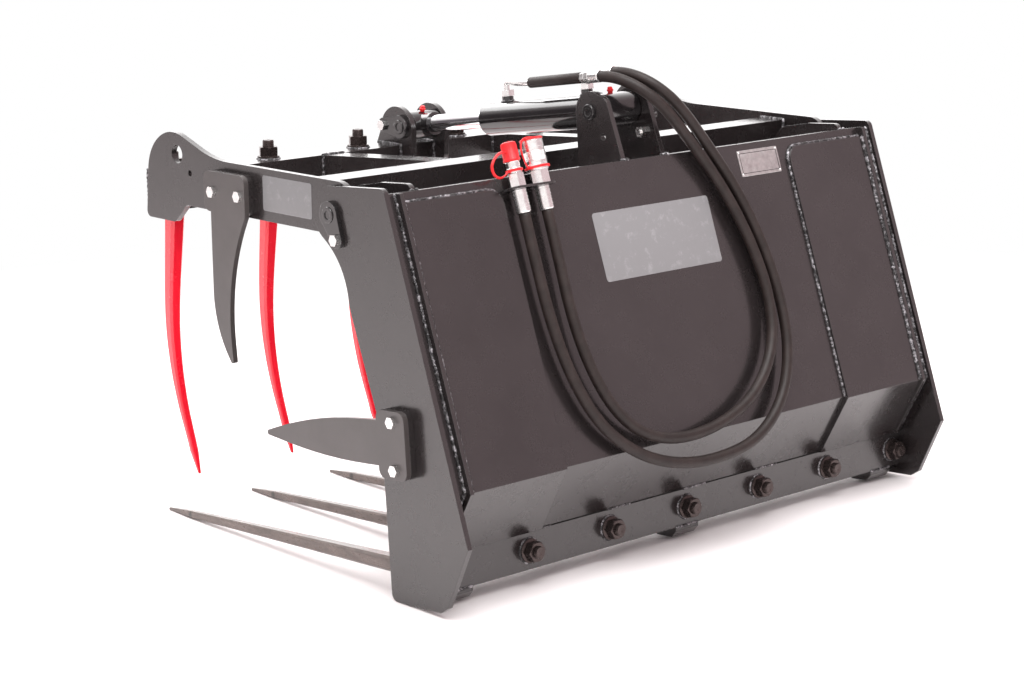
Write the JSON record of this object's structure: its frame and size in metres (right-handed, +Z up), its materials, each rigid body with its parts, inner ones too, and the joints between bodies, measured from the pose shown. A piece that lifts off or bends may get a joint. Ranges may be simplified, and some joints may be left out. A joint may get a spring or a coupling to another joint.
{
  "type": "manure grapple",
  "caption": "Loader manure fork with straight lower tines and a hinged upper grab of curved tines, closed by a hydraulic cylinder.",
  "frame": {"origin": "centre of the part's own box on the floor it stands on, without its hoses", "axes": "+X to the side that the hose couplers are on, -Y forward out of the lower tines' tips, +Z up"},
  "size_m": [1.329, 0.959, 0.8745],
  "materials": {
    "frame_paint": "satin black paint",
    "cylinder_paint": "gloss black paint",
    "tine_steel": "dark forged steel under thin paint",
    "red_paint": "gloss red paint",
    "blade_paint": "satin black paint",
    "zinc": "bright zinc plate",
    "nut_steel": "dark oiled steel",
    "chromed_rod": "hard chrome, polished",
    "hose_rubber": "matt rubber hose",
    "cap_red": "satin red plastic"
  },
  "bodies": {
    "fork": {"side_plate_left": "frame_paint", "side_plate_right": "frame_paint", "hinge_plate_left": "frame_paint", "hinge_plate_right": "frame_paint", "back_sheet": "frame_paint", "back_pads": "frame_paint", "back_ribs": "frame_paint", "tine_bar": "frame_paint", "skid_feet": "frame_paint", "lower_tine_sleeves": "frame_paint", "lower_tine_washers": "nut_steel", "lower_tine_nuts": "nut_steel", "lower_tine_1": "tine_steel", "lower_tine_2": "tine_steel", "lower_tine_3": "tine_steel", "lower_tine_4": "tine_steel", "lower_tine_5": "tine_steel", "lower_tine_6": "tine_steel", "lower_tine_7": "tine_steel", "hinge_pins": "cylinder_paint", "pin_bolts": "zinc", "lower_blade_spacers": "frame_paint", "lower_blades": "blade_paint", "lower_blade_bolts": "zinc", "cylinder_ears": "frame_paint", "rear_pin": "cylinder_paint", "male_hose": "hose_rubber", "female_hose": "hose_rubber", "male_coupler": "zinc", "female_coupler": "zinc", "dust_caps": "cap_red", "coupler_holder": "frame_paint"},
    "grab": {"arm_left": "frame_paint", "arm_right": "frame_paint", "front_tube": "frame_paint", "rear_tube": "frame_paint", "brace_tubes": "frame_paint", "hinge_bushes": "frame_paint", "upper_tine_sleeves": "frame_paint", "upper_tine_washers": "nut_steel", "upper_tine_nuts": "nut_steel", "upper_tine_1": "red_paint", "upper_tine_2": "red_paint", "upper_tine_3": "red_paint", "upper_tine_4": "red_paint", "upper_tine_5": "red_paint", "upper_tine_6": "red_paint", "upper_blade_spacers": "frame_paint", "upper_blades": "blade_paint", "upper_blade_bolts": "zinc", "rod_lugs": "frame_paint", "rod_pin": "cylinder_paint", "rod_pin_bolt": "zinc"},
    "barrel": {"rear_eye": "cylinder_paint", "barrel": "cylinder_paint", "gland": "cylinder_paint", "port_fittings": "zinc", "transfer_pipe": "zinc"},
    "rod": {"piston_rod": "chromed_rod", "rod_eye": "cylinder_paint"}
  },
  "joints": [
    {"name": "grab_hinge", "type": "hinge", "parent": "fork", "child": "grab", "pos_m": [0, 0.11993, 0.66426], "axis": [-1, 0, 0], "range_deg": [-6, 45]},
    {"name": "barrel_tilt", "type": "hinge", "parent": "fork", "child": "barrel", "pos_m": [0, 0.16374, 0.79472], "axis": [-1, 0, 0], "range_deg": [-6.3, 43.8], "deforming": ["male_hose", "female_hose"]},
    {"name": "rod_slide", "type": "slide", "parent": "barrel", "child": "rod", "axis": [0, -0.9902, -0.1398], "range_m": [-0.1045, 0.0157]}
  ],
  "couplings": [
    {"joint": "barrel_tilt", "follows": "grab_hinge", "ratio": 0.9625},
    {"joint": "rod_slide", "follows": "grab_hinge", "m_per_rad": -0.1305}
  ]
}
